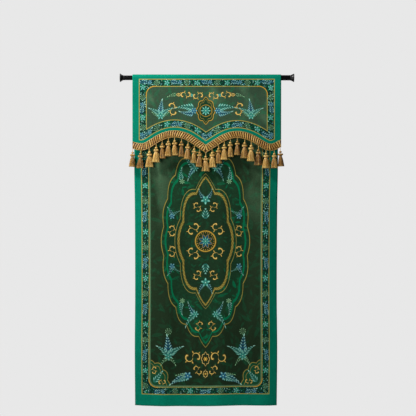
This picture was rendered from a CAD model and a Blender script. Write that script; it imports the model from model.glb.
"""Looks of a printed velvet door curtain with an arched, tasselled valance on a telescopic rod.

Metres throughout. +X is to the viewer's right, -Y faces the room, +Z is up, and the origin is the
middle of the rod's axis.
"""

import math
import random

import bmesh
import bpy
import numpy as np
from bpy.props import FloatProperty, FloatVectorProperty, IntProperty, PointerProperty
from mathutils import Matrix, Vector


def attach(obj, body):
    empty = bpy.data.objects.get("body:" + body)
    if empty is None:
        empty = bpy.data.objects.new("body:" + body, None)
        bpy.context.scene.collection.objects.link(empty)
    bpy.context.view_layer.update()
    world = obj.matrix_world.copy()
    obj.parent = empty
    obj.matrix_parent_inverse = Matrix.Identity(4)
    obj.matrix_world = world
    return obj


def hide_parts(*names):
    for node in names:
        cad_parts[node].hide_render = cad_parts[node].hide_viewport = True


bl_info = {
    "name": "Velvet door curtain",
    "version": (1, 0, 0),
    "blender": (4, 5, 0),
    "location": "3D View > Sidebar > Curtain",
    "description": "Builds the cloth, print, braid, tassels and rod of a velvet door curtain",
    "category": "Object",
}

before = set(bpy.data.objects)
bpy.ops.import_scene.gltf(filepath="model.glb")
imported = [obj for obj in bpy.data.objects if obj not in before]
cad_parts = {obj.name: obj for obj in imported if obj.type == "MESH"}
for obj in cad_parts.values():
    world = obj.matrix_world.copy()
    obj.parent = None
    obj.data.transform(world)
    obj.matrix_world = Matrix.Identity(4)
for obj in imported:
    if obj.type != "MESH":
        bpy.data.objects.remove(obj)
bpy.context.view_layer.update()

FIXED_BODY = "curtain_and_outer_tube"
SLIDING_BODY = "inner_tube_and_left_foot"

# Sizes of the solids, as in the part's source
DROP = 2.000
CLOTH = 0.0016
GAP = 0.0004
ROD_END = 0.525
OUTER_TUBE_RADIUS, INNER_TUBE_RADIUS = 0.016, 0.014
OUTER_TUBE_LEFT_END, INNER_TUBE_RIGHT_END = -0.120, 0.130
TUBE_WALL = 0.0015
FOOT_RADIUS, FOOT_LENGTH, FOOT_RIM = 0.025, 0.027, 0.004
BEND_SLACK = 1 / math.cos(math.pi / 20)
SLEEVE_RADIUS = (OUTER_TUBE_RADIUS + GAP) * BEND_SLACK
SLEEVE_SEAM = -0.055
SLEEVE_DROOP = math.radians(18)
VALANCE_RADIUS = SLEEVE_RADIUS + (CLOTH + GAP) * BEND_SLACK
VALANCE_LEFT, VALANCE_RIGHT = -0.4485, 0.4461
HEM = VALANCE_RADIUS + CLOTH - DROP
PANEL_WIDTH = 0.866

# The panel's outline: depth below the rod, left edge, right edge
PANEL_SIDES = (
    (-0.020, -0.4385, 0.4277),
    (0.556, -0.4385, 0.4277),
    (0.737, -0.4359, 0.4242),
    (1.026, -0.4340, 0.4220),
    (1.340, -0.4337, 0.4214),
    (1.641, -0.4358, 0.4238),
    (-HEM, -0.4337, 0.4208),
)
# Share of the width from the left, and how far the hem lifts there
HEM_LIFT = ((0.0, 0.0048), (0.1, 0.0022), (0.25, 0.0003), (0.5, 0.0), (0.65, 0.0032), (1.0, 0.0040))
# Soft folds: middle, half width, depth towards the room, drift of the foot to the right
PANEL_FOLDS = (
    (-0.435, 0.045, -0.007, 0.000),
    (-0.290, 0.070, 0.006, 0.020),
    (-0.130, 0.080, -0.005, -0.020),
    (0.060, 0.080, 0.005, 0.030),
    (0.230, 0.070, -0.005, -0.010),
    (0.330, 0.055, 0.004, 0.005),
    (0.430, 0.045, -0.009, 0.000),
)
VALANCE_FOLDS = (
    (-0.455, 0.060, -0.006, 0.000),
    (-0.210, 0.110, 0.004, 0.010),
    (-0.010, 0.070, -0.002, 0.000),
    (0.200, 0.110, 0.004, -0.010),
    (0.450, 0.060, -0.007, 0.000),
)
FOLDS_START, PANEL_FOLDS_FULL, VALANCE_FOLDS_FULL = 0.070, 1.000, 0.400

# Middle line of the braid: x, height, slope
BRAID_LINE = (
    (-0.4485, -0.4066, -0.30),
    (-0.3942, -0.4174, 0.00),
    (-0.3050, -0.3740, 0.60),
    (-0.1959, -0.3397, 0.00),
    (-0.0862, -0.3752, -0.66),
    (-0.0072, -0.4295, -0.67),
    (-0.0072, -0.4295, 0.67),
    (0.0730, -0.3780, 0.62),
    (0.1808, -0.3433, 0.00),
    (0.2863, -0.3730, -0.53),
    (0.3828, -0.4192, 0.00),
    (0.4461, -0.3957, 0.50),
)
BRAID_POINT_X = -0.0072
BRAID_HALF_WIDTH = 0.0205
BRAID_MITRE = 0.040
BRAID_OFF_CLOTH = CLOTH / 2 + 0.0010
BRAID_BASE_OUT, BRAID_BASE_THICKNESS, BRAID_BASE_TONE = 0.0002, 0.0014, -1.8
# The braid's loops of cord, the soft filling inside each, and the rope along both edges
LOOP_HALF_LONG, LOOP_HALF_WIDE, LOOP_CORD, LOOP_OUT = 0.0180, 0.0043, 0.0011, 0.0024
LOOP_SLANT, LOOP_CLEAR_OF_MITRE = 0.30, 0.0004
FILLING_HALF_LONG, FILLING_HALF_WIDE, FILLING_OUT = 0.0168, 0.0040, 0.0029
ROPE_RADIUS, ROPE_OUT, ROPE_LAY = 0.0018, 0.0021, 0.0065
CLOTH_UNDER_BRAID = 0.010

# Tassels: x of the cord, length and width against the usual one, sway and lean of the foot in
# degrees, tone from darker (-1) to lighter (1)
TASSELS = (
    (-0.4461, 0.99, 0.91, -2.5, 0.0, -0.3),
    (-0.3991, 0.99, 1.03, -1.5, 0.0, -0.8),
    (-0.3460, 1.04, 1.12, 0.0, -1.5, 0.7),
    (-0.3050, 1.01, 1.08, -0.5, 4.0, 0.6),
    (-0.2688, 0.99, 0.93, 0.5, -2.5, -0.6),
    (-0.2315, 1.00, 0.95, -0.5, 3.0, 0.2),
    (-0.1947, 1.00, 0.93, 1.5, -1.0, 0.4),
    (-0.1525, 1.00, 0.86, -0.5, -2.0, -0.9),
    (-0.1127, 0.98, 1.00, -3.0, 3.0, 0.0),
    (-0.0747, 0.96, 0.96, -4.0, -2.5, 0.5),
    (-0.0428, 0.97, 1.00, -2.0, 3.0, -0.4),
    (-0.0072, 1.01, 1.19, 0.0, -1.5, 0.3),
    (0.0307, 1.01, 1.05, 2.0, 3.5, 0.8),
    (0.0699, 1.02, 0.95, 0.0, -2.5, -0.3),
    (0.1043, 1.01, 0.98, 0.0, 3.5, 0.5),
    (0.1405, 0.99, 0.93, 0.0, -2.0, 0.5),
    (0.1827, 0.95, 0.93, 0.0, 1.5, -0.5),
    (0.2279, 1.04, 1.02, -2.0, -1.5, 0.1),
    (0.2664, 1.07, 1.05, -1.0, 2.5, 0.8),
    (0.3098, 1.05, 1.10, -1.0, -1.5, -0.8),
    (0.3551, 1.01, 1.07, -0.5, 2.0, 0.6),
    (0.4051, 0.98, 1.03, 0.0, 1.0, 0.3),
    (0.4400, 1.02, 0.88, 3.0, -1.5, -0.9),
)
TASSEL_FLATNESS = 0.55
TASSEL_NAMES = [f"tassel_yarns_{number:02d}" for number in range(1, len(TASSELS) + 1)]
TASSEL_HANG = 0.0012  # how far a cord starts above and in front of the braid's lower edge
# A tassel's twisted cord
CORD_LENGTH, CORD_LAY, CORD_RADIUS = 0.0215, 0.0075, 0.00115
# A tassel's ball, ruff and bound head: depth, radius, half height, tone
TASSEL_BEADS = (
    (0.0248, 0.0078, 0.0066, 0.5),
    (0.0392, 0.0108, 0.0062, -0.9),
    (0.0472, 0.0082, 0.0046, -0.5),
)
# The ruff's ring of looped knots
KNOTS, KNOT_RING, KNOT_DEPTH, KNOT_REACH = 11, 0.0096, 0.0392, 0.0062
# Yarns of the skirt: where they start and end, and their radius
SKIRT_TOP, SKIRT_END, YARN_RADIUS = 0.0440, 0.1095, 0.00125
# Rings of yarns inside one another: share of the skirt's radius, share of the outer ring's yarns
YARN_RINGS = ((1.0, 1.0), (0.80, 0.7), (0.55, 0.45), (0.25, 0.2))
# How the skirt of yarns widens: depth below the braid, radius
SKIRT_FORM = ((0.0450, 0.0060), (0.0530, 0.0104), (0.0650, 0.0146), (0.0850, 0.0184), (0.1105, 0.0214))

# The foot's outside from the middle of its end face: depth behind the face, radius
FOOT_FACE = (
    (0.0, 0.0),
    (0.0, 0.0100),
    (0.0006, 0.0106),
    (0.0006, 0.0124),
    (0.0, 0.0130),
    (0.0, FOOT_RADIUS - 0.001),
    (0.0003, FOOT_RADIUS - 0.0003),
    (0.001, FOOT_RADIUS),
    (FOOT_RIM, FOOT_RADIUS),
)
FOOT_PLUG, FOOT_STEPS = 0.020, 20
TUBE_EASE = 0.0004  # rounding of a tube's ends

# Behind the sleeve: how far back each cloth's back layer lies at the seam, and where it ends
BACK_LAYER, SEAM_ALLOWANCE = 0.0017, 0.006
VALANCE_BACK, VALANCE_BACK_END = CLOTH + 2 * GAP, SLEEVE_SEAM + 0.002

# Camera and floor
CAMERA_DISTANCE, CAMERA_X, CAMERA_HEIGHT = 7.0, 0.006, -0.785
SENSOR_WIDTH, VIEW_WIDTH = 36.0, 2.508
FLOOR_RADIUS, FLOOR_HEIGHT = 2.0, -2.55

# Layout of the print: distances of its lines from the cloth's edges, the half width and half height
# of its large forms, and the middle and repeat of its floral bands
SIDE_LINE, SIDE_INNER_LINE = 0.046, 0.0895
PRINT_SHIFT = -0.003
HEM_EXTRA = 0.025
PANEL_MIDDLE = -0.985
VALANCE_LINE, VALANCE_INNER_LINE = 0.041, 0.084
VALANCE_TOP_EXTRA = 0.010
LINE_HALF = 0.0021
OVAL, HEART, CORNER, CREST = (0.270, 0.590), (0.165, 0.350), (0.120, 0.155), (0.056, 0.074)
ROSETTE_RADIUS, CREST_RING_RADIUS = 0.062, 0.035
FIELD_CORNER_X, FIELD_CORNER_Y = 0.336, 0.873
CREST_HEIGHT = -0.200
PANEL_BAND, PANEL_REPEAT = 0.067, 0.279
VALANCE_BAND, VALANCE_REPEAT = 0.0625, 0.181


def srgb(red, green, blue):
    """A colour given as 0 to 255 on a screen, as a shader's linear numbers."""
    return tuple(
        c / 12.92 if c <= 0.04045 else ((c + 0.055) / 1.055) ** 2.4
        for c in (red / 255, green / 255, blue / 255)
    )


def colour_setting(name, description, default):
    return FloatVectorProperty(
        name=name, description=description, subtype="COLOR", size=3, min=0, max=1, default=default
    )


class CurtainPrintSettings(bpy.types.PropertyGroup):
    emerald: colour_setting("Emerald", "Plain border of the panel and valance", srgb(2, 124, 98))
    field: colour_setting("Field", "Dark ground of the print", srgb(37, 56, 36))
    inner_field: colour_setting("Inner field", "Ground inside the medallion", srgb(28, 60, 38))
    valance_field: colour_setting("Valance field", "Ground of the valance", srgb(54, 78, 58))
    band: colour_setting("Band", "Ground of the floral band", srgb(16, 52, 42))
    leaf: colour_setting("Leaf", "Tone-on-tone leaves", srgb(6, 114, 74))
    gold: colour_setting("Gold line", "Thin lines round the bands", srgb(172, 158, 76))
    bright_gold: colour_setting("Bright gold", "Scrolls and rosettes", srgb(210, 166, 66))
    light_gold: colour_setting("Light gold", "Ridge of the scrolls", srgb(250, 216, 130))
    dark_gold: colour_setting("Dark gold", "Shaded side of the scrolls", srgb(116, 96, 38))
    turquoise: colour_setting("Turquoise", "Blossoms of the band", srgb(66, 162, 144))
    pale_teal: colour_setting("Pale teal", "Lightest petals", srgb(156, 214, 194))
    blue: colour_setting("Blue", "Sprays of the band", srgb(52, 122, 152))
    pale_green: colour_setting("Pale green", "Stripe and blossoms", srgb(112, 158, 116))
    reverse: colour_setting("Reverse", "Plain back of the cloth", srgb(30, 58, 46))


class CurtainClothSettings(bpy.types.PropertyGroup):
    thickness: FloatProperty(
        name="Thickness", description="Thickness of the velvet", subtype="DISTANCE", unit="LENGTH",
        default=0.0014, min=0.0005, max=0.003,
    )
    ripple: FloatProperty(
        name="Ripple", description="Height of the small uneven ripples", subtype="DISTANCE",
        unit="LENGTH", default=0.0011, min=0, max=0.004,
    )


class CurtainTrimSettings(bpy.types.PropertyGroup):
    gold_yarn: colour_setting("Gold yarn", "Braid and tassels", srgb(176, 128, 50))
    light_yarn: colour_setting("Light yarn", "Lightest yarns", srgb(250, 212, 118))
    dark_yarn: colour_setting("Dark yarn", "Darkest yarns", srgb(92, 54, 18))
    loop_pitch: FloatProperty(
        name="Loop pitch", description="Distance between the braid's loops", subtype="DISTANCE",
        unit="LENGTH", default=0.0135, min=0.006, max=0.03,
    )
    yarns: IntProperty(
        name="Yarns", description="Yarns in the outer ring of a tassel's skirt", default=40, min=12, max=80
    )


class CurtainRodSettings(bpy.types.PropertyGroup):
    tube: colour_setting("Tube", "Paint of the tubes", srgb(8, 8, 9))
    foot: colour_setting("Foot", "Rubber of the feet", srgb(7, 7, 8))


class CurtainStageSettings(bpy.types.PropertyGroup):
    backdrop: colour_setting("Backdrop", "Plain pale surroundings", srgb(232, 232, 232))
    key_power: FloatProperty(
        name="Key light", description="Power of the main light", subtype="POWER", unit="POWER",
        default=111.0, min=0, max=2000,
    )


# Form of the hanging cloth


def smoothstep(low, high, value):
    share = min(1.0, max(0.0, (value - low) / (high - low)))
    return share * share * (3 - 2 * share)


def hermite(x, left, right):
    """A cubic between two knots, each x, value and slope."""
    span = right[0] - left[0]
    t = (x - left[0]) / span
    return (
        (2 * t**3 - 3 * t**2 + 1) * left[1]
        + (t**3 - 2 * t**2 + t) * span * left[2]
        + (3 * t**2 - 2 * t**3) * right[1]
        + (t**3 - t**2) * span * right[2]
    )


def curve_through(points, x):
    """A smooth curve through a table of x and value, in rising order of x."""
    x = min(points[-1][0], max(points[0][0], x))
    slopes = []
    for i in range(len(points)):
        before, after = points[max(i - 1, 0)], points[min(i + 1, len(points) - 1)]
        slopes.append((after[1] - before[1]) / (after[0] - before[0]))
    for i in range(len(points) - 1):
        if x <= points[i + 1][0]:
            return hermite(x, (*points[i], slopes[i]), (*points[i + 1], slopes[i + 1]))
    return points[-1][1]


def fold_depth(folds, full_at, x, z):
    fade = smoothstep(FOLDS_START, full_at, -z)
    foot = z / HEM
    return fade * sum(
        depth * math.exp(-(((x - middle - drift * foot) / half_width) ** 2))
        for middle, half_width, depth, drift in folds
    )


def small_ripples(x, z, height):
    """Uneven little waves that run mostly down the cloth."""
    fade = smoothstep(0.06, 0.25, -z)
    wave = math.sin(41 * x + 1.3 * math.sin(3.1 * z + 2 * x)) * math.cos(2.3 * z + 5 * x)
    wave += 0.6 * math.sin(73 * x + 2.1 * math.sin(2.2 * z)) * math.sin(3.7 * z + 1)
    wave += 0.4 * math.sin(19 * x - 6.5 * z)
    return fade * height * wave


def braid_line(x):
    """Height and slope of the braid's middle line at x."""
    for left, right in zip(BRAID_LINE, BRAID_LINE[1:]):
        if left[0] < right[0] and x <= right[0]:
            step = 1e-5
            slope = (hermite(x + step, left, right) - hermite(x - step, left, right)) / (2 * step)
            return hermite(x, left, right), slope
    return BRAID_LINE[-1][1], BRAID_LINE[-1][2]


def valance_layer_y(x, z):
    """Depth of the middle of the valance's cloth in front of the rod."""
    return -(VALANCE_RADIUS + CLOTH / 2) - fold_depth(VALANCE_FOLDS, VALANCE_FOLDS_FULL, x, z)


class BraidRun:
    """Places along the braid by the length run from its left end."""

    def __init__(self):
        xs = np.linspace(VALANCE_LEFT, VALANCE_RIGHT, 4001)
        self.xs = xs
        self.zs = np.array([braid_line(x)[0] for x in xs])
        self.run = np.concatenate(([0], np.cumsum(np.hypot(np.diff(xs), np.diff(self.zs)))))
        self.length = float(self.run[-1])
        self.point = float(np.interp(BRAID_POINT_X, xs, self.run))

    def place(self, run, across, out):
        """The point at a length run, a distance across the braid (up) and a distance off the cloth."""
        run = min(self.length, max(0.0, run))
        x = float(np.interp(run, self.run, self.xs))
        slope = braid_line(x)[1]
        z = float(np.interp(run, self.run, self.zs))
        from_mitre = min(abs(run - end) for end in (0.0, self.point, self.length))
        slant = math.atan(slope) * smoothstep(0, BRAID_MITRE, from_mitre)
        reach = across / math.cos(math.atan(slope) - slant)
        x, z = x - math.sin(slant) * reach, z + math.cos(slant) * reach
        x = min(VALANCE_RIGHT, max(VALANCE_LEFT, x))
        return Vector((x, valance_layer_y(x, z) - BRAID_OFF_CLOTH - out, z))

    def lower_edge(self, x):
        edge = [self.place(run, -BRAID_HALF_WIDTH, 0) for run in np.linspace(0, self.length, 601)]
        return float(np.interp(x, [p.x for p in edge], [p.z for p in edge]))


BRAID = BraidRun()


# Making pieces


def add_piece(name, mesh, body, materials, stands_for=()):
    """Links a mesh as a piece that rides on a body and stands for CAD nodes."""
    obj = bpy.data.objects.new(name, mesh)
    bpy.context.scene.collection.objects.link(obj)
    for material in materials:
        mesh.materials.append(material)
    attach(obj, body)
    if stands_for:
        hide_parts(*stands_for)
    return obj


def grid_mesh(name, columns, rows, place, front_faces_room=True):
    """A sheet of columns by rows. place(share across, row) gives a point and its flat place."""
    bm = bmesh.new()
    bmesh.ops.create_grid(bm, x_segments=columns, y_segments=rows, size=1)
    flat = {}
    for corner in bm.verts:
        share = (corner.co.x + 1) / 2
        row = round((corner.co.y + 1) / 2 * rows)
        corner.co, flat[corner] = place(share, row)
    layer = bm.loops.layers.uv.new("flat_cloth")
    for face in bm.faces:
        for loop in face.loops:
            loop[layer].uv = flat[loop.vert]
    bm.normal_update()
    middle = sorted(bm.faces, key=lambda face: face.calc_center_median().z)[0]
    if (middle.normal.y < 0) != front_faces_room:
        bmesh.ops.reverse_faces(bm, faces=bm.faces)
    mesh = bpy.data.meshes.new(name)
    bm.to_mesh(mesh)
    bm.free()
    mesh.shade_smooth()
    return mesh


def thicken(obj, thickness):
    """Gives a sheet its thickness. Its back and edges take the second material."""
    modifier = obj.modifiers.new("Thickness", "SOLIDIFY")
    modifier.thickness = thickness
    modifier.offset = 0
    modifier.use_even_offset = True
    modifier.material_offset = 1
    modifier.material_offset_rim = 1


def over_rod(radius, steps, start, end):
    """Points round the rod in the YZ plane; angle 0 faces the room, 90 degrees is the top."""
    angles = np.linspace(start, end, steps)
    return [(-radius * math.cos(a), radius * math.sin(a)) for a in angles]


def straight(start, end, steps):
    """Points from start to end in the YZ plane, without the last."""
    return [
        tuple(a + (b - a) * i / steps for a, b in zip(start, end)) for i in range(steps)
    ]


def path_lengths(path):
    steps = [math.hypot(b[0] - a[0], b[1] - a[1]) for a, b in zip(path, path[1:])]
    return np.concatenate(([0], np.cumsum(steps)))


def yarn_template(sides, steps):
    """A closed tube of unit radius down from z 0 to -1, as a mesh to copy and bend."""
    bm = bmesh.new()
    bmesh.ops.create_cone(bm, cap_ends=True, segments=sides, radius1=1, radius2=1, depth=1)
    bmesh.ops.translate(bm, verts=bm.verts, vec=(0, 0, -0.5))
    for i in range(1, steps):
        bmesh.ops.bisect_plane(
            bm, geom=bm.verts[:] + bm.edges[:] + bm.faces[:], plane_co=(0, 0, -i / steps),
            plane_no=(0, 0, 1),
        )
    return finished_template(bm)


def ring_template(sides, steps):
    """A closed ring of unit radius in the XY plane, whose tube has a tenth of that radius."""
    bm = bmesh.new()
    made = bmesh.ops.create_circle(bm, segments=sides, radius=0.1)
    upright = Matrix.Rotation(math.pi / 2, 3, "X")
    bmesh.ops.rotate(bm, verts=made["verts"], cent=(0, 0, 0), matrix=upright)
    bmesh.ops.translate(bm, verts=made["verts"], vec=(1, 0, 0))
    bmesh.ops.spin(
        bm, geom=bm.verts[:] + bm.edges[:], cent=(0, 0, 0), axis=(0, 0, 1), dvec=(0, 0, 0),
        angle=2 * math.pi, steps=steps, use_merge=True,
    )
    bmesh.ops.remove_doubles(bm, verts=bm.verts, dist=1e-5)
    bmesh.ops.recalc_face_normals(bm, faces=bm.faces)
    return finished_template(bm)


def bead_template(around, down):
    bm = bmesh.new()
    bmesh.ops.create_uvsphere(bm, u_segments=around, v_segments=down, radius=1)
    return finished_template(bm)


def finished_template(bm):
    mesh = bpy.data.meshes.new("template")
    bm.to_mesh(mesh)
    bm.free()
    return mesh


def points_of(mesh):
    points = np.zeros(len(mesh.vertices) * 3)
    mesh.vertices.foreach_get("co", points)
    return points.reshape(-1, 3)


def bunch(name, copies):
    """One mesh of many bent copies, each a template, its points, its tone and its run in metres."""
    bm = bmesh.new()
    for template, *_ in copies:
        bm.from_mesh(template)
    mesh = bpy.data.meshes.new(name)
    bm.to_mesh(mesh)
    bm.free()
    mesh.vertices.foreach_set("co", np.concatenate([points for _, points, _, _ in copies]).ravel())
    for label, values in (
        ("tone", [np.zeros(len(points)) + tone for _, points, tone, _ in copies]),
        ("yarn_run", [runs for _, _, _, runs in copies]),
    ):
        attribute = mesh.attributes.new(label, "FLOAT", "POINT")
        attribute.data.foreach_set("value", np.concatenate(values).astype(np.float32))
    mesh.update()
    mesh.shade_smooth()
    return mesh


# Materials


class Signal:
    """A number that changes over a surface, carried by a shader socket."""

    def __init__(self, socket):
        self.socket = socket

    def math(self, operation, *others):
        tree = self.socket.id_data
        node = tree.nodes.new("ShaderNodeMath")
        node.operation = operation
        for slot, value in zip(node.inputs, (self, *others)):
            feed(tree, slot, value)
        return Signal(node.outputs[0])

    def __add__(self, other):
        return self.math("ADD", other)

    def __sub__(self, other):
        return self.math("SUBTRACT", other)

    def __rsub__(self, other):
        return self.math("MULTIPLY_ADD", -1, other)

    def __mul__(self, other):
        return self.math("MULTIPLY", other)

    def __truediv__(self, other):
        return self.math("DIVIDE", other)

    def __rtruediv__(self, other):
        return self.math("POWER", -1) * other

    def __abs__(self):
        return self.math("ABSOLUTE")

    def held(self):
        """The number held between 0 and 1."""
        return self.math("MAXIMUM", 0).math("MINIMUM", 1)

    __radd__ = __add__
    __rmul__ = __mul__


def feed(tree, slot, value):
    """Gives a shader input a socket's value, a colour or a number."""
    if isinstance(value, Signal):
        tree.links.new(value.socket, slot)
    elif isinstance(value, bpy.types.NodeSocket):
        tree.links.new(value, slot)
    elif isinstance(value, tuple):
        slot.default_value = (*value, 1)
    else:
        slot.default_value = value


COLOUR_SOCKETS = {"ground", "deep", "middle", "light", "dyed"}


def call_group(tree, name, build, inputs, values, outputs):
    """Uses a node group, which is built from a function of its inputs the first time."""
    group = bpy.data.node_groups.get(name)
    if group is None:
        group = bpy.data.node_groups.new(name, "ShaderNodeTree")
        for labels, way in ((inputs, "INPUT"), (outputs, "OUTPUT")):
            for label in labels:
                kind = "NodeSocketColor" if label in COLOUR_SOCKETS else "NodeSocketFloat"
                group.interface.new_socket(label, in_out=way, socket_type=kind)
        entry, leave = group.nodes.new("NodeGroupInput"), group.nodes.new("NodeGroupOutput")
        sockets = [s if s.name in COLOUR_SOCKETS else Signal(s) for s in entry.outputs[:len(inputs)]]
        for slot, made in zip(leave.inputs, build(group, *sockets)):
            feed(group, slot, made)
    node = tree.nodes.new("ShaderNodeGroup")
    node.node_tree = group
    for slot, value in zip(node.inputs, values):
        feed(tree, slot, value)
    return [s if s.name in COLOUR_SOCKETS else Signal(s) for s in node.outputs]


def lower(*signals):
    first = signals[0]
    for other in signals[1:]:
        first = first.math("MINIMUM", other)
    return first


def upper(*signals):
    first = signals[0]
    for other in signals[1:]:
        first = first.math("MAXIMUM", other)
    return first


def cover(distance, soft=0.0010):
    """1 where a distance is below zero and 0 where it is above, with a soft edge."""
    tree = distance.socket.id_data
    node = tree.nodes.new("ShaderNodeMapRange")
    node.interpolation_type = "SMOOTHSTEP"
    node.clamp = False
    for slot, value in zip(node.inputs, (distance, -soft / 2, soft / 2, 1, 0)):
        feed(tree, slot, value)
    return Signal(node.outputs[0])


def line(distance, half=LINE_HALF, soft=0.0012):
    return cover(abs(distance) - half, soft)


def spun(x, y, angle):
    """x and y as seen from axes turned by an angle, which may itself change over the surface."""
    c, s = angle.math("COSINE"), angle.math("SINE")
    return x * c + y * s, y * c - x * s


def turned(x, y, degrees):
    c, s = math.cos(math.radians(degrees)), math.sin(math.radians(degrees))
    return x * c + y * s, y * c - x * s


def length_of(x, y):
    return (x * x + y * y).math("SQRT")


def leaf(x, y, long, wide):
    """Below zero inside a pointed leaf along x, centred at its middle."""
    share = x / long
    return abs(y) - wide * (1 - share * share)


def ring_of(x, y, count, start=0):
    """The place as seen from the nearest of a ring of arms: out along it and across it."""
    if start:
        x, y = turned(x, y, start)
    angle = y.math("ARCTAN2", x)
    step = 2 * math.pi / count
    rest = angle - (angle / step).math("ROUND") * step
    far = length_of(x, y)
    return far * rest.math("COSINE"), far * rest.math("SINE")


def build_lobed_oval(tree, x, y, across, up, lobes, depth, point):
    sx, sy = x / across, y / up
    far = length_of(sx, sy)
    steep = length_of(sx / across, sy / up) / far
    angle = sy.math("ARCTAN2", sx)
    near_end = (1 - abs(sx) / far * 2.6).math("MAXIMUM", 0)
    rim = abs((angle * (lobes * 0.5)).math("COSINE")) * depth + (1 - depth) + near_end * near_end * point
    return (far - rim) / steep, angle


def lobed_oval(tree, x, y, across, up, lobes, depth, point=0):
    """Distance outside an oval with a scalloped rim and ends drawn out to points, and the way round it."""
    inputs = ("x", "y", "half across", "half up", "lobes", "depth", "point")
    values = (x, y, across, up, lobes, depth, point)
    return call_group(tree, "lobed_oval", build_lobed_oval, inputs, values, ("distance", "angle"))


def rounded_inside(a, b, radius):
    """Distance inside a corner of two edges that is rounded off."""
    in_a, in_b = radius - a, radius - b
    outside = length_of(upper(in_a, 0), upper(in_b, 0))
    return radius - outside - lower(upper(in_a, in_b), 0)


def draw_flower(dye, x, y, size, petals, deep, middle, light):
    """Petals with a paler streak round a heart."""
    out, side = ring_of(x, y, petals)
    wide = size / petals
    dye.put(deep, cover(leaf(out - size * 0.52, side, size * 0.52, wide * 1.5)))
    dye.put(middle, cover(leaf(out - size * 0.58, side, size * 0.38, wide)))
    dye.put(light, cover(leaf(out - size * 0.70, side, size * 0.22, wide * 0.5)))
    dye.put(light, cover(length_of(x, y) - size * 0.13))


def draw_umbel(dye, x, y, size, rays, deep, middle, light):
    """Small round blossoms on thin rays."""
    out, side = ring_of(x, y, rays, 12)
    dye.put(deep, line(side, 0.0008) * cover(abs(out - size * 0.45) - size * 0.42))
    dye.put(middle, cover(length_of(out - size * 0.88, side) - size * 0.14))
    dye.put(light, cover(length_of(out - size * 0.88, side) - size * 0.07))
    out, side = ring_of(x, y, rays - 3)
    dye.put(middle, cover(length_of(out - size * 0.50, side) - size * 0.12))


def draw_sprig(dye, x, y, length, pairs, bend, deep, middle, light):
    """A bent stem along x with pairs of narrow leaves that shorten towards the tip."""
    y = y - x * x * (bend / length)
    step = length / pairs
    dye.put(deep, line(y, length * 0.010) * cover(abs(x - length * 0.5) - length * 0.5))
    for late in (1, 0):
        place = ((x / step).math("FLOOR") - late).math("MAXIMUM", 0).math("MINIMUM", pairs - 1)
        blade = (pairs + 1 - place) * (length * 0.20 / (pairs + 1))
        out, side = turned(x - place * step, abs(y), 37)
        out = out - blade
        dye.put(middle if late else deep, cover(leaf(out, side, blade, length * 0.052)))
        dye.put(light, cover(leaf(out - blade * 0.22, side, blade * 0.60, length * 0.020)))
    dye.put(light, cover(leaf(x - length * 1.04, y, length * 0.10, length * 0.035)))


# Leaves on each half of a scroll, in its radius: start, angle in degrees, half length, half width
SCROLL_LEAVES = ((0.42, 0.80, 104, 0.46, 0.17), (1.60, 0.56, 36, 0.34, 0.14))


def draw_scroll(dye, x, y, radius, half, turn, deep, middle, light):
    """Two commas that join at their thin ends into an S along x, each with a ball at its thick end."""
    side = x.math("SIGN")
    for start_x, start_y, angle, long, wide in SCROLL_LEAVES:
        out, off = turned(abs(x) - radius * start_x, y * side * turn - radius * start_y, angle)
        blade = leaf(out - radius * long, off, radius * long, radius * wide)
        dye.put(deep, cover(blade))
        dye.put(middle, cover(blade + radius * (wide * 0.35)))
        dye.put(light, cover(blade + radius * (wide * 0.75)))
    x, y = spun(abs(x) - radius * 0.82, y * side, math.pi - turn * (4 * math.pi / 3))
    angle = (y * turn).math("ARCTAN2", x) * (1 / (2 * math.pi))
    wound = angle.math("FRACT") * 1.5
    taper = (1 - wound).math("MAXIMUM", 0).math("POWER", 0.7) * half
    off = length_of(x, y) - radius * (1 - wound * 0.18)
    shown = cover(wound - 1, 0.05)
    ball = length_of(x - radius * 0.80, y) - half * 1.5
    dye.put(deep, upper(cover(abs(off) - taper) * shown, cover(ball)))
    dye.put(middle, cover(abs(off) - taper * 0.75) * shown)
    dye.put(light, upper(cover(abs(off + taper * 0.15) - taper * 0.35) * shown, cover(ball + half * 0.9)))


def draw_drop(dye, x, y, size, lobes, deep, middle, light):
    """A scalloped drop with a gold rim and a small flower inside."""
    drop, _ = lobed_oval(dye.tree, x, y, size * 0.70, size, lobes, 0.16, 0.2)
    dye.put(deep, cover(abs(drop) - 0.0024))
    dye.put(light, cover(abs(drop + 0.0005) - 0.0011))
    out, side = ring_of(x, y, 6)
    dye.put(middle, cover(leaf(out - size * 0.22, side, size * 0.20, size * 0.09)))
    dye.put(light, cover(length_of(x, y) - size * 0.07))


ORNAMENTS = {
    "flower": (draw_flower, ("size", "petals")),
    "umbel": (draw_umbel, ("size", "rays")),
    "sprig": (draw_sprig, ("length", "pairs", "bend")),
    "scroll": (draw_scroll, ("radius", "half width", "turn")),
    "drop": (draw_drop, ("size", "lobes")),
}


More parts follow.
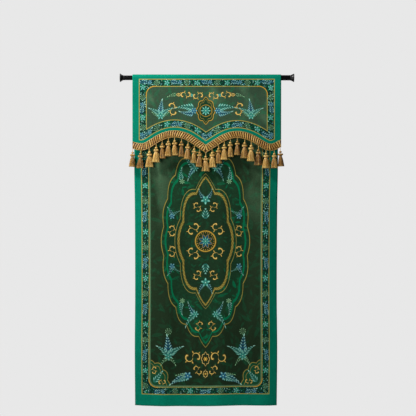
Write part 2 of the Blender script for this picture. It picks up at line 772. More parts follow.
class Dye:
    """Builds a printed colour layer by layer over a ground, inside an area."""

    def __init__(self, tree, ground, area=1):
        self.tree = tree
        self.colour = ground
        self.area = area

    def put(self, colour, mask):
        share = mask if self.area == 1 else mask * self.area
        node = self.tree.nodes.new("ShaderNodeMix")
        node.data_type = "RGBA"
        feed(self.tree, node.inputs[0], share)
        feed(self.tree, node.inputs[6], self.colour)
        feed(self.tree, node.inputs[7], colour)
        self.colour = node.outputs[2]

    def stroke(self, distance, half, tints):
        """A line of gold with a light ridge on a darker edge."""
        self.put(tints[0], line(distance, half))
        self.put(tints[1], line(distance + half * 0.2, half * 0.5))

    def twist(self, distance, angle, turns, half, tints):
        """A band of two gold strands that cross over and over."""
        self.put(tints[0], line(distance, half * 1.25))
        for side in (-1, 1):
            wave = (angle * turns).math("SINE") * (side * half * 0.75)
            self.put(tints[1], line(distance - wave, half * 0.26))

    def draw(self, name, x, y, numbers, tints, at=(0, 0), facing=0):
        """Draws an ornament at a place, turned by an angle in degrees."""
        drawing, labels = ORNAMENTS[name]

        def build(tree, ground, area, x, y, middle_x, middle_y, angle, *rest):
            dye = Dye(tree, ground, area)
            drawing(dye, *spun(x - middle_x, y - middle_y, angle), *rest)
            return [dye.colour]

        inputs = ("ground", "area", "x", "y", "middle x", "middle y", "facing")
        inputs += (*labels, "deep", "middle", "light")
        values = (self.colour, self.area, x, y, *at, math.radians(facing), *numbers, *tints)
        self.colour, = call_group(self.tree, name, build, inputs, values, ("dyed",))


def flat_place(tree):
    """Where a point of the cloth lies on the flat print: across and up, in metres, and the vector."""
    uv = tree.nodes.new("ShaderNodeUVMap")
    uv.uv_map = "flat_cloth"
    split = tree.nodes.new("ShaderNodeSeparateXYZ")
    tree.links.new(uv.outputs[0], split.inputs[0])
    return Signal(split.outputs[0]), Signal(split.outputs[1]), uv.outputs[0]


def attribute(tree, name):
    node = tree.nodes.new("ShaderNodeAttribute")
    node.attribute_name = name
    return Signal(node.outputs["Fac"])


def noise(tree, vector, scale, detail=2.0, stretch=None, distortion=0.0):
    """Uneven numbers about 0.5 over a vector."""
    if stretch:
        mapping = tree.nodes.new("ShaderNodeMapping")
        mapping.inputs["Scale"].default_value = stretch
        tree.links.new(vector, mapping.inputs[0])
        vector = mapping.outputs[0]
    node = tree.nodes.new("ShaderNodeTexNoise")
    node.inputs["Scale"].default_value = scale
    node.inputs["Detail"].default_value = detail
    node.inputs["Distortion"].default_value = distortion
    tree.links.new(vector, node.inputs["Vector"])
    return Signal(node.outputs[0])


def patches(tree, vector, scale, share, stretch=None):
    """0 to 1: soft uneven patches that cover about a share of the surface."""
    return ((noise(tree, vector, scale, 3.0, stretch, 0.6) - (0.68 - 0.36 * share)) * 5).held()


def scatter(tree, vector, x, y, size, jitter):
    """Cells of one size: the place within the cell from its own centre, turned, and a random number."""
    cells = tree.nodes.new("ShaderNodeTexVoronoi")
    cells.voronoi_dimensions = "2D"
    cells.inputs["Scale"].default_value = 1 / size
    cells.inputs["Randomness"].default_value = jitter
    tree.links.new(vector, cells.inputs["Vector"])
    middle = tree.nodes.new("ShaderNodeSeparateXYZ")
    tree.links.new(cells.outputs["Position"], middle.inputs[0])
    chance = tree.nodes.new("ShaderNodeSeparateColor")
    tree.links.new(cells.outputs["Color"], chance.inputs[0])
    lx, ly = x - Signal(middle.outputs[0]), y - Signal(middle.outputs[1])
    return (*spun(lx, ly, Signal(chance.outputs[0]) * 6.28), Signal(chance.outputs[1]))


def foliage(tree, dye, vector, x, y, strength, colour, size):
    """Tone-on-tone leaves at all angles."""
    for share, jitter in ((1.0, 1.0), (0.58, 0.85)):
        lx, ly, chance = scatter(tree, vector, x, y, size * share, jitter)
        ly = ly - (lx * lx) * (0.30 / size)
        blade = cover(leaf(lx, ly, size * share * 0.46, size * share * 0.13), 0.003)
        vein = 1 - line(ly, 0.0006, 0.0012) * 0.6
        dye.put(colour, blade * vein * (0.25 + chance * 0.75) * strength)


def nearest_repeat(along, period, offset):
    """The place along a band from the nearest of a row of equal places."""
    share = along / period - offset
    return (share - share.math("ROUND")) * period


def floral_band(tree, dye, vector, x, y, along, across, tints, period):
    """A running band: a blue spray, a pale umbel and a teal flower, with small leaves between them."""
    lx, ly, chance = scatter(tree, vector, x, y, 0.0125, 0.95)
    speck = cover(leaf(lx, ly, 0.0058, 0.0019))
    dye.put(tints["leaf"], speck * cover(0.15 - chance, 0.1))
    for share, kind, step in ((0.50, "green", 1), (0.66, "teal", 1), (0.82, "blue", 1), (0.90, "teal", 2)):
        dye.put(tints[kind][step], speck * cover(share - chance, 0.05))
    spray = nearest_repeat(along, period, 0.0)
    dye.draw("sprig", spray, across, (0.066, 5, 0.26), tints["blue"], (-0.036, -0.008))
    dye.draw("flower", spray, across, (0.0130, 5), tints["blue"], (0.020, -0.005), 20)
    umbel = nearest_repeat(along, period, 1 / 3)
    dye.draw("umbel", umbel, across, (0.0170, 9), tints["green"])
    teal = nearest_repeat(along, period, 2 / 3)
    out, side = ring_of(teal, across, 4, 45)
    dye.put(tints["leaf"], cover(leaf(out - 0.018, side, 0.010, 0.0042)))
    dye.draw("flower", teal, across, (0.0175, 5), tints["teal"], (0, 0), 75)


def new_material(name):
    material = bpy.data.materials.new(name)
    material.use_nodes = True
    tree = material.node_tree
    return material, tree, tree.nodes["Principled BSDF"]


def shaded(tree, shader, colour, shade):
    """Gives the shader a colour that is darker or lighter by a share."""
    mix = tree.nodes.new("ShaderNodeVectorMath")
    mix.operation = "SCALE"
    tree.links.new(colour, mix.inputs[0])
    tree.links.new(shade.socket, mix.inputs["Scale"])
    tree.links.new(mix.outputs[0], shader.inputs["Base Color"])


def bumped(tree, shader, height, strength, distance):
    """Raises the surface by a height in the shading alone."""
    bump = tree.nodes.new("ShaderNodeBump")
    bump.inputs["Strength"].default_value = strength
    bump.inputs["Distance"].default_value = distance
    tree.links.new(height.socket, bump.inputs["Height"])
    tree.links.new(bump.outputs[0], shader.inputs["Normal"])


def surface(shader, roughness, gloss, sheen=0, sheen_roughness=0.5, tint=(1, 1, 1)):
    """Sets what is the same all over a material."""
    for label, value in (
        ("Roughness", roughness), ("Specular IOR Level", gloss), ("Sheen Weight", sheen),
        ("Sheen Roughness", sheen_roughness), ("Sheen Tint", (*tint, 1)),
    ):
        shader.inputs[label].default_value = value


def velvet_finish(tree, shader, vector, colour, tint):
    """Short uneven pile over a printed colour: nap marks, sheen and a fine bump."""
    nap = noise(tree, vector, 4.0, 3.0, (1.0, 0.45, 1.0), 0.5)
    crush = noise(tree, vector, 24.0, 3.0)
    pile = noise(tree, vector, 420.0, 2.0, (1.0, 0.5, 1.0))
    grain = noise(tree, vector, 120.0, 2.0)
    shade = 0.08 + nap * 0.62 + crush * 0.28 + pile * 0.30 + grain * 0.64
    shaded(tree, shader, colour, shade)
    surface(shader, 0.9, 0.05, 0.30, 0.38, tint)
    bumped(tree, shader, crush * 0.0011 + pile * 0.0003, 0.8, 1.0)


def tints_of(colours):
    """Each ornament's deep, middle and light colour."""
    def toned(base, light):
        return tuple(c * 0.45 for c in base), tuple(base), tuple(light)

    return {
        "leaf": tuple(colours.leaf),
        "blue": toned(colours.blue, colours.pale_teal),
        "teal": toned(colours.turquoise, colours.pale_teal),
        "green": toned(colours.pale_green, tuple(min(1, c * 2.2) for c in colours.pale_green)),
        "gold": (tuple(colours.dark_gold), tuple(colours.bright_gold), tuple(colours.light_gold)),
        "line": (tuple(colours.dark_gold), tuple(colours.gold)),
    }


# Ornaments of the panel's field, mirrored in both axes: kind, tint, sizes, place from the middle, facing
PANEL_ORNAMENTS = (
    ("sprig", "teal", (0.085, 5, 0.20), (0.004, 0.135), 90),
    ("flower", "teal", (0.030, 5), (0.0, 0.250), -90),
    ("sprig", "blue", (0.050, 4, 0.40), (0.014, 0.262), 40),
    ("sprig", "teal", (0.082, 5, 0.50), (0.062, 0.440), 25),
    ("sprig", "blue", (0.070, 5, -0.50), (0.062, 0.440), -30),
    ("flower", "teal", (0.022, 6), (0.062, 0.440), 0),
    ("sprig", "blue", (0.052, 4, -0.35), (0.204, 0.152), 84),
    ("sprig", "teal", (0.046, 4, 0.40), (0.204, 0.152), 124),
    ("flower", "blue", (0.019, 5), (0.204, 0.150), 10),
    ("sprig", "teal", (0.066, 5, 0.40), (0.142, 0.366), 66),
    ("flower", "green", (0.017, 7), (0.142, 0.360), 0),
    ("scroll", "gold", (0.0200, 0.0044, 1), (0.074, 0.074), -45),
    ("scroll", "gold", (0.0150, 0.0034, -1), (0.050, 0.205), 62),
    ("scroll", "gold", (0.0165, 0.0036, 1), (0.204, 0.062), 88),
    ("scroll", "gold", (0.0150, 0.0034, 1), (0.040, 0.512), 60),
)
# The same below the medallion alone, mirrored from side to side
FOOT_ORNAMENTS = (
    ("sprig", "blue", (0.118, 6, 0.10), (0.226, 0.690), -92),
    ("sprig", "teal", (0.080, 5, 0.30), (0.228, 0.690), -58),
    ("sprig", "teal", (0.092, 6, -0.30), (0.224, 0.690), -130),
    ("sprig", "green", (0.056, 4, 0.35), (0.230, 0.700), 30),
    ("sprig", "green", (0.056, 4, -0.35), (0.222, 0.700), 150),
    ("flower", "teal", (0.027, 6), (0.226, 0.694), 36),
    ("umbel", "green", (0.020, 9), (0.226, 0.545), 0),
    ("sprig", "blue", (0.104, 6, 0.35), (0.112, 0.815), 6),
    ("sprig", "teal", (0.078, 5, -0.40), (0.110, 0.815), 42),
    ("sprig", "green", (0.060, 5, 0.40), (0.110, 0.812), -26),
    ("flower", "blue", (0.027, 5), (0.108, 0.812), 20),
    ("drop", "gold", (0.036, 8), (0.0, 0.710), 0),
    ("drop", "gold", (0.020, 8), (0.0, 0.800), 0),
    ("scroll", "gold", (0.0240, 0.0050, 1), (0.078, 0.700), 12),
    ("scroll", "gold", (0.0150, 0.0034, -1), (0.048, 0.778), -48),
)
# Quarter medallions in the field's corners, measured from each corner
CORNER_ORNAMENTS = (
    ("sprig", "teal", (0.080, 5, 0.0), (0.022, 0.022), 52),
    ("scroll", "gold", (0.0110, 0.0028, -1), (0.072, 0.024), 8),
    ("scroll", "gold", (0.0110, 0.0028, 1), (0.024, 0.094), 84),
)
# The valance's field, mirrored from side to side: the place is from the braid's point and the rod
VALANCE_ORNAMENTS = (
    ("flower", "teal", (0.030, 8), (0.0, -0.200), 0),
    ("sprig", "teal", (0.098, 6, -0.35), (0.070, -0.186), 22),
    ("sprig", "blue", (0.078, 6, 0.35), (0.072, -0.214), -14),
    ("flower", "blue", (0.021, 6), (0.072, -0.200), 0),
    ("scroll", "gold", (0.0190, 0.0042, 1), (0.200, -0.190), 78),
    ("sprig", "blue", (0.088, 6, 0.10), (0.272, -0.226), 90),
    ("sprig", "teal", (0.072, 6, -0.30), (0.274, -0.228), 50),
    ("sprig", "teal", (0.072, 6, 0.30), (0.270, -0.228), 130),
    ("sprig", "green", (0.046, 4, 0.30), (0.276, -0.232), 8),
    ("sprig", "green", (0.046, 4, -0.30), (0.268, -0.232), 172),
    ("flower", "teal", (0.025, 6), (0.272, -0.230), 0),
    ("scroll", "gold", (0.0150, 0.0038, -1), (0.047, -0.110), -14),
    ("flower", "teal", (0.0110, 5), (0.084, -0.107), 0),
    ("scroll", "gold", (0.0150, 0.0038, 1), (0.121, -0.103), -2),
    ("drop", "gold", (0.0120, 6), (0.163, -0.104), 90),
    ("sprig", "green", (0.048, 4, -0.30), (0.178, -0.104), 4),
)


def panel_velvet(colours):
    """The panel's printed face: border, lines, floral band, and a field with a scalloped medallion."""
    material, tree, shader = new_material("panel_velvet_print")
    x, y, vector = flat_place(tree)
    x = x - PRINT_SHIFT
    from_side = PANEL_WIDTH / 2 - abs(x)
    from_hem = y - (HEM + HEM_EXTRA)
    edge = lower(from_side, from_hem)
    inner = rounded_inside(from_side - SIDE_INNER_LINE, from_hem - SIDE_INNER_LINE, 0.045)
    tints = tints_of(colours)
    dye = Dye(tree, tuple(colours.emerald))

    dye.put(tuple(colours.band), cover(SIDE_LINE - edge))
    dye.area = cover(SIDE_LINE - edge) * cover(inner)
    on_hem = from_hem.math("LESS_THAN", from_side)
    along = x * on_hem + y * (1 - on_hem)
    floral_band(tree, dye, vector, x, y, along, edge - PANEL_BAND, tints, PANEL_REPEAT)

    dye.area = 1
    dye.put(tuple(colours.field), cover(inner * -1))
    dye.put(tuple(c * 0.55 for c in colours.pale_green), line(inner - 0.006, 0.0040))
    dye.put(tuple(colours.gold), line(edge - SIDE_LINE))
    dye.put(tuple(colours.gold), line(inner, 0.0018))
    dye.area = cover(from_side + from_hem - (2 * SIDE_INNER_LINE + 0.052), 0.004)
    dye.stroke(inner, 0.0036, tints["gold"])

    ax, up = abs(x), y - PANEL_MIDDLE
    ay = abs(up)
    dye.area = cover(0.010 - inner, 0.002)
    worn = ((y + 0.95) * 2.2).held() * patches(tree, vector, 5.0, 0.7, (1.0, 0.6, 1.0))
    dye.put(tuple(c * 0.55 for c in colours.pale_green), worn * 0.85)
    dye.put(tuple(c * 0.45 for c in colours.field), ((y + 1.0) * -1.4).held() * 0.45)
    oval, _ = lobed_oval(tree, x, up, *OVAL, 20, 0.045, 0.085)
    heart, round_heart = lobed_oval(tree, x, up, *HEART, 8, 0.115, 0.10)
    inside = cover(oval)
    foliage(tree, dye, vector, x, y, (1 - inside) * 0.20, tints["leaf"], 0.085)
    dye.put(tuple(colours.inner_field), inside)
    dye.put(tuple(c * 1.7 for c in colours.inner_field), inside * patches(tree, vector, 75.0, 0.5) * 0.4)
    foliage(tree, dye, vector, x, y, inside * patches(tree, vector, 6.0, 0.75), tints["leaf"], 0.062)
    dye.put(tints["leaf"], line(oval + 0.026, 0.0055))
    dye.stroke(oval, 0.0024, tints["line"])
    dye.put(tuple(c * 0.8 for c in colours.field), cover(heart) * 0.55)
    dye.twist(heart, round_heart, 44, 0.0058, tints["line"])
    dye.put(tuple(colours.gold), line(heart - 0.022, 0.0012))

    corner_x, corner_y = FIELD_CORNER_X - ax, FIELD_CORNER_Y - ay
    corner, _ = lobed_oval(tree, corner_x, corner_y, *CORNER, 12, 0.10)
    dye.put(tints["leaf"], cover(corner) * 0.28)
    dye.stroke(corner, 0.0022, tints["line"])
    dye.stroke(corner + 0.020, 0.0014, tints["line"])
    for kind, tint, sizes, at, facing in CORNER_ORNAMENTS:
        dye.draw(kind, corner_x, corner_y, sizes, tints[tint], at, facing)

    dye.put(tuple(c * 0.8 for c in colours.field), cover(length_of(x, up) - 0.070) * 0.6)
    dye.stroke(length_of(x, up) - ROSETTE_RADIUS, 0.0046, tints["gold"])
    out, side = ring_of(x, up, 24)
    dye.put(tints["gold"][1], cover(length_of(out - 0.0515, side) - 0.0024))
    out, side = ring_of(x, up, 8, 22.5)
    petal = leaf(out - 0.024, side, 0.021, 0.0085)
    dye.put(tints["blue"][0], cover(petal))
    dye.stroke(petal, 0.0012, tints["gold"])
    dye.draw("flower", x, up, (0.026, 8), tints["teal"])
    for kind, tint, sizes, at, facing in PANEL_ORNAMENTS:
        dye.draw(kind, ax, ay, sizes, tints[tint], at, facing)
    for kind, tint, sizes, at, facing in FOOT_ORNAMENTS:
        dye.draw(kind, ax, up * -1, sizes, tints[tint], at, facing)
    velvet_finish(tree, shader, vector, dye.colour, (0.10, 0.42, 0.30))
    return material


def valance_velvet(colours):
    """The valance's printed face: border, lines along the arches, floral band, crest and sprays."""
    material, tree, shader = new_material("valance_velvet_print")
    x, y, vector = flat_place(tree)
    above = attribute(tree, "above_braid")
    middle = (VALANCE_LEFT + VALANCE_RIGHT) / 2
    from_side = (VALANCE_RIGHT - VALANCE_LEFT) / 2 - abs(x - middle)
    from_top = (VALANCE_RADIUS + CLOTH + VALANCE_TOP_EXTRA) - y
    edge = lower(from_side, from_top, above)
    tints = tints_of(colours)
    dye = Dye(tree, tuple(colours.emerald))

    square = rounded_inside(from_side - VALANCE_INNER_LINE, from_top - VALANCE_INNER_LINE, 0.050)
    inner = lower(square, above - VALANCE_INNER_LINE)
    dye.put(tuple(colours.band), cover(VALANCE_LINE - edge))
    dye.area = cover(VALANCE_LINE - edge) * cover(inner)
    on_side = from_side.math("LESS_THAN", lower(from_top, above))
    along = y * on_side + x * (1 - on_side)
    floral_band(tree, dye, vector, x, y, along, edge - VALANCE_BAND, tints, VALANCE_REPEAT)

    dye.area = 1
    field = cover(inner * -1)
    dye.put(tuple(colours.valance_field), field)
    dye.put(tuple(colours.pale_green), field * patches(tree, vector, 6.5, 0.45, (1.0, 0.8, 1.0)) * 0.30)
    dye.put(tuple(colours.gold), line(edge - VALANCE_LINE))
    dye.put(tuple(colours.gold), line(inner))
    dye.area = cover(from_side + from_top - (2 * VALANCE_INNER_LINE + 0.062), 0.004) * cover(0.06 - above)
    dye.stroke(inner, 0.0036, tints["gold"])
    dye.area = cover(0.004 - inner)
    foliage(tree, dye, vector, x, y, field * 0.36, tints["leaf"], 0.070)

    ax = abs(x - BRAID_POINT_X)
    crest, _ = lobed_oval(tree, ax, y - CREST_HEIGHT, *CREST, 8, 0.13, 0.12)
    dye.put(tuple(colours.inner_field), cover(crest))
    dye.stroke(crest, 0.0026, tints["gold"])
    dye.stroke(crest + 0.013, 0.0012, tints["line"])
    dye.stroke(length_of(ax, y - CREST_HEIGHT) - CREST_RING_RADIUS, 0.0016, tints["gold"])
    for kind, tint, sizes, at, facing in VALANCE_ORNAMENTS:
        dye.draw(kind, ax, y, sizes, tints[tint], at, facing)
    velvet_finish(tree, shader, vector, dye.colour, (0.16, 0.44, 0.32))
    return material


def plain_reverse(colours):
    """The unprinted back of the velvet: a fine twill with a line of stitches near each side."""
    material, tree, shader = new_material("velvet_reverse")
    x, y, vector = flat_place(tree)
    twill = ((x + y) * (2 * math.pi / 0.0011)).math("SINE")
    uneven = noise(tree, vector, 9.0, 3.0)
    shade = 0.70 + uneven * 0.45 + twill * 0.07
    stitches = cover((abs((y / 0.0042).math("FRACT") - 0.5) - 0.3) * 0.0042)
    seam = line(PANEL_WIDTH / 2 - abs(x) - 0.012, 0.0005, 0.0004) * stitches
    dye = Dye(tree, tuple(colours.reverse))
    dye.put(tuple(c * 1.8 for c in colours.reverse), seam)
    shaded(tree, shader, dye.colour, shade)
    surface(shader, 0.92, 0.15, 0.15)
    bumped(tree, shader, twill, 0.5, 0.0002)
    return material


def gold_yarn(name, trim, twist):
    """Shiny twisted yarn, whose plies run round it along its length."""
    material, tree, shader = new_material(name)
    tone = attribute(tree, "tone")
    run = attribute(tree, "yarn_run")
    where = tree.nodes.new("ShaderNodeTexCoord").outputs["Object"]
    uneven = noise(tree, where, 170.0, 2.0)
    split = tree.nodes.new("ShaderNodeSeparateXYZ")
    tree.links.new(where, split.inputs[0])
    drift = (Signal(split.outputs[0]) + Signal(split.outputs[2])) * 90
    ply = ((run * (1 / twist) + drift) * 6.283).math("SINE")
    dye = Dye(tree, tuple(trim.gold_yarn))
    light = (tone * 0.5 + (uneven - 0.5) * 1.3).held()
    dark = (tone * -0.5 + (0.5 - uneven) * 1.3).held()
    dye.put(tuple(trim.light_yarn), light.math("MINIMUM", 0.85))
    dye.put(tuple(trim.dark_yarn), dark.math("MINIMUM", 0.9))
    dye.put(tuple(c * 0.4 for c in trim.dark_yarn), (tone * -1 - 1).held())
    dye.put(tuple(c * 0.5 for c in trim.dark_yarn), (ply * -0.35).math("MAXIMUM", 0.0))
    tree.links.new(dye.colour, shader.inputs["Base Color"])
    surface(shader, 0.36, 0.6, 0.12, 0.3, (1.0, 0.88, 0.62))
    bumped(tree, shader, ply, 0.5, 0.0004)
    return material


def black_finish(name, colour, roughness, gloss):
    """Black paint or rubber with faint mottling in its gloss."""
    material, tree, shader = new_material(name)
    where = tree.nodes.new("ShaderNodeTexCoord").outputs["Object"]
    mottle = noise(tree, where, 240.0, 3.0)
    rough = mottle * 0.16 + (roughness - 0.08)
    tree.links.new(rough.socket, shader.inputs["Roughness"])
    dye = Dye(tree, tuple(colour))
    dye.put(tuple(c * 2.2 for c in colour), noise(tree, where, 30.0, 2.0) * 0.5)
    tree.links.new(dye.colour, shader.inputs["Base Color"])
    shader.inputs["Specular IOR Level"].default_value = gloss
    bumped(tree, shader, mottle, 0.15, 0.0003)
    return material


# Operators


class CURTAIN_OT_panel(bpy.types.Operator):
    """Hangs the printed panel with its rod sleeve"""

    bl_idname = "curtain.panel"
    bl_label = "Main panel"

    def execute(self, context):
        scene = context.scene
        radius = SLEEVE_RADIUS + CLOTH / 2
        back = over_rod(radius, 25, math.pi + SLEEVE_DROOP, -SLEEVE_DROOP)
        path = straight((BACK_LAYER, SLEEVE_SEAM - SEAM_ALLOWANCE), (BACK_LAYER, SLEEVE_SEAM), 2)
        path += straight((BACK_LAYER, SLEEVE_SEAM), back[0], 6)
        path += back[:-1] + straight(back[-1], (0.0, SLEEVE_SEAM), 6)
        hanging = len(path)
        path += straight((0.0, SLEEVE_SEAM), (0.0, HEM), 190) + [(0.0, HEM)]
        runs = path_lengths(path)
        left_side = [(depth, left) for depth, left, _ in PANEL_SIDES]
        right_side = [(depth, right) for depth, _, right in PANEL_SIDES]

        def place(share, row):
            y, z = path[row]
            left, right = curve_through(left_side, -z), curve_through(right_side, -z)
            x = left + (right - left) * share
            lift = curve_through(HEM_LIFT, share) * smoothstep(-HEM / 2, -HEM, -z)
            depth = fold_depth(PANEL_FOLDS, PANEL_FOLDS_FULL, x, z)
            if row >= hanging:
                ripple = small_ripples(x, z, scene.curtain_cloth.ripple)
                depth += ripple * smoothstep(0.25, 0.75, -z)
            flat_y = SLEEVE_SEAM - (runs[row] - runs[hanging])
            return Vector((x, y - depth, z + lift)), ((share - 0.5) * PANEL_WIDTH, flat_y)

        mesh = grid_mesh("panel_cloth", 96, len(path) - 1, place)
        colours = scene.curtain_print
        materials = [panel_velvet(colours), plain_reverse(colours)]
        obj = add_piece("panel_cloth", mesh, FIXED_BODY, materials, ["main_panel"])
        thicken(obj, scene.curtain_cloth.thickness)
        return {"FINISHED"}


class CURTAIN_OT_valance(bpy.types.Operator):
    """Folds the printed valance, with the braid and tassels sewn on it, over the sleeve"""

    bl_idname = "curtain.valance"
    bl_label = "Valance"

    def execute(self, context):
        scene = context.scene
        radius = VALANCE_RADIUS + CLOTH / 2
        front_rows, columns = 70, 160
        over = over_rod(radius, 23, 0, math.pi + SLEEVE_DROOP)
        path = over + straight(over[-1], (VALANCE_BACK, VALANCE_BACK_END), 6)[1:]
        path += [(VALANCE_BACK, VALANCE_BACK_END)]
        runs = path_lengths(path)
        line_points = np.array(
            [(x, braid_line(x)[0]) for x in np.linspace(VALANCE_LEFT, VALANCE_RIGHT, 700)]
        )

        def place(share, row):
            x = VALANCE_LEFT + (VALANCE_RIGHT - VALANCE_LEFT) * share
            if row < front_rows:
                z = -(1 - row / front_rows) * (CLOTH_UNDER_BRAID - braid_line(x)[0])
                depth = fold_depth(VALANCE_FOLDS, VALANCE_FOLDS_FULL, x, z)
                ripple = small_ripples(x, z, scene.curtain_cloth.ripple) * 0.6
                depth += ripple * smoothstep(0.35, 0.20, -z)
                return Vector((x, -radius - depth, z)), (x, z)
            y, z = path[row - front_rows]
            return Vector((x, y, z)), (x, float(runs[row - front_rows]))

        mesh = grid_mesh("valance_cloth", columns, front_rows + len(path) - 1, place)
        far = []
        for vertex in mesh.vertices:
            x, y, z = vertex.co
            nearest = float(np.hypot(line_points[:, 0] - x, line_points[:, 1] - z).min())
            far.append(nearest if z > braid_line(x)[0] else -nearest)
        attribute_layer = mesh.attributes.new("above_braid", "FLOAT", "POINT")
        attribute_layer.data.foreach_set("value", np.array(far, np.float32))
        colours = scene.curtain_print
        materials = [valance_velvet(colours), plain_reverse(colours)]
        obj = add_piece("valance_cloth", mesh, FIXED_BODY, materials, ["valance"])
        thicken(obj, scene.curtain_cloth.thickness)
        return {"FINISHED"}


class CURTAIN_OT_braid(bpy.types.Operator):
    """Sews the gold braid of slanted loops between two cords along the arches"""

    bl_idname = "curtain.braid"
    bl_label = "Braid"

    def execute(self, context):
        trim = context.scene.curtain_trim
        uneven = random.Random(7)
        copies = []
        base = bmesh.new()
        bmesh.ops.create_grid(base, x_segments=360, y_segments=4, size=1)
        made = bmesh.ops.extrude_face_region(base, geom=base.faces[:])["geom"]
        raised = [g for g in made if isinstance(g, bmesh.types.BMVert)]
        bmesh.ops.translate(base, verts=raised, vec=(0, 0, 1))
        bmesh.ops.recalc_face_normals(base, faces=base.faces)
        base = finished_template(base)
        points = [
            BRAID.place(
                (p[0] + 1) / 2 * BRAID.length,
                p[1] * BRAID_HALF_WIDTH * 0.96,
                BRAID_BASE_OUT + BRAID_BASE_THICKNESS * p[2],
            )
            for p in points_of(base)
        ]
        copies.append((base, np.array(points), BRAID_BASE_TONE, np.zeros(len(points))))

        ring, filling = ring_template(6, 28), bead_template(10, 12)
        shape, core = points_of(ring), points_of(filling)
        blunt = np.sqrt(np.clip(1 - core[:, 2] ** 6, 0, 1) / np.maximum(1 - core[:, 2] ** 2, 1e-6))
        core[:, :2] *= blunt[:, None]
        angles = np.arctan2(shape[:, 1], shape[:, 0])
        beyond = (np.hypot(shape[:, 0], shape[:, 1]) - 1) * 10
        proud = shape[:, 2] * 10
        halves = ((0.0, BRAID.point, LOOP_SLANT), (BRAID.point, BRAID.length, -LOOP_SLANT))
        for start, end, slant in halves:
            count = round((end - start) / trim.loop_pitch)
            for i in range(count):
                middle = start + (end - start) * (i + 0.5) / count + uneven.uniform(-0.0005, 0.0005)
                tone = uneven.uniform(-0.2, 1.1)

                def at(along, across, out):
                    run = middle + along + across * slant
                    first, last = start + LOOP_CLEAR_OF_MITRE, end - LOOP_CLEAR_OF_MITRE
                    return BRAID.place(min(last, max(first, run)), across, out)

                points = [
                    at(
                        (LOOP_HALF_WIDE + far * LOOP_CORD) * math.cos(angle),
                        (LOOP_HALF_LONG + far * LOOP_CORD)
                        * math.copysign(abs(math.sin(angle)) ** 0.8, math.sin(angle)),
                        LOOP_OUT + lift * LOOP_CORD,
                    )
                    for angle, far, lift in zip(angles, beyond, proud)
                ]
                copies.append((ring, np.array(points), tone - 0.8, angles * 0.013))
                points = [
                    at(p[0] * FILLING_HALF_WIDE, p[2] * FILLING_HALF_LONG, FILLING_OUT - p[1] * FILLING_OUT)
                    for p in core
                ]
                copies.append((filling, np.array(points), tone, core[:, 2] * FILLING_HALF_LONG))

        rope = bmesh.new()
        bmesh.ops.create_grid(rope, x_segments=820, y_segments=8, size=1)
        rope = finished_template(rope)
        for across in (ROPE_RADIUS - BRAID_HALF_WIDTH, BRAID_HALF_WIDTH - ROPE_RADIUS):
            points = []
            for p in points_of(rope):
                run, round_it = (p[0] + 1) / 2 * BRAID.length, (p[1] + 1) * math.pi
                radius = ROPE_RADIUS * (1 + 0.26 * math.cos(2 * (round_it - run / ROPE_LAY * math.pi)))
                up, out = radius * math.cos(round_it), ROPE_OUT - radius * math.sin(round_it)
                points.append(BRAID.place(run, across + up, out))
            copies.append((rope, np.array(points), 0.5, np.zeros(len(points))))
        mesh = bunch("braid_gimp", copies)
        bm = bmesh.new()
        bm.from_mesh(mesh)
        bmesh.ops.remove_doubles(bm, verts=bm.verts, dist=2e-6)
        bmesh.ops.holes_fill(bm, edges=[edge for edge in bm.edges if edge.is_boundary], sides=0)
        bmesh.ops.recalc_face_normals(bm, faces=bm.faces)
        bm.to_mesh(mesh)
        bm.free()
        material = gold_yarn("gold_braid_yarn", trim, 0.0032)
        add_piece("braid_gimp", mesh, FIXED_BODY, [material], ["braid"])
        return {"FINISHED"}


